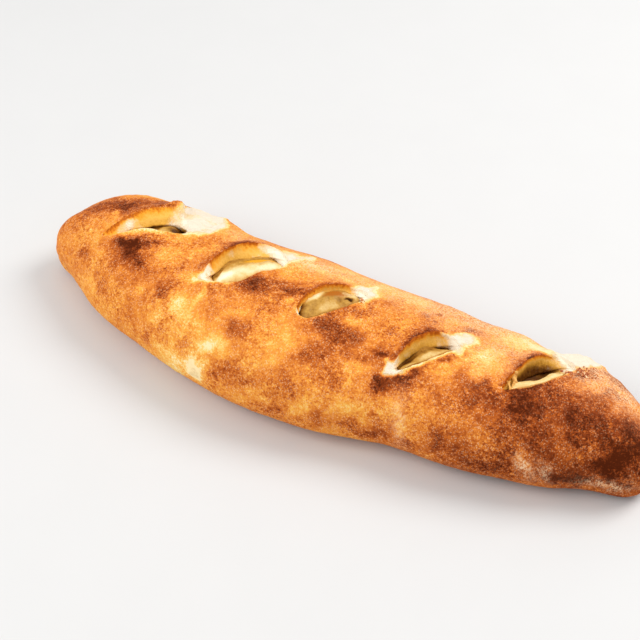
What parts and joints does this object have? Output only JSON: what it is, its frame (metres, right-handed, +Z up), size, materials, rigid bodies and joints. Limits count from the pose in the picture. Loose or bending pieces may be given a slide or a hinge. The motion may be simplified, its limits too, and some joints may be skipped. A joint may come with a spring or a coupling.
{
  "type": "stromboli",
  "caption": "Long golden-brown baked dough roll with a row of slanted slashes in its top that show the pale melted cheese inside; it lies on its flat underside.",
  "frame": {"origin": "middle of the underside of the roll's box, on the surface it lies on", "axes": "+X along the roll, from its wider end to its narrower end; +Z up, through the slashed top; +Y across it, away from the side that faces the camera in the picture"},
  "size_m": [0.3752, 0.1154, 0.054],
  "materials": {
    "baked_crust": "matte baked bread crust, mottled from golden to dark brown, with a dusting of flour",
    "melted_cheese": "soft, slightly moist cream-coloured melted cheese"
  },
  "bodies": {
    "root": {"crust": "baked_crust", "filling": "melted_cheese"}
  },
  "joints": []
}
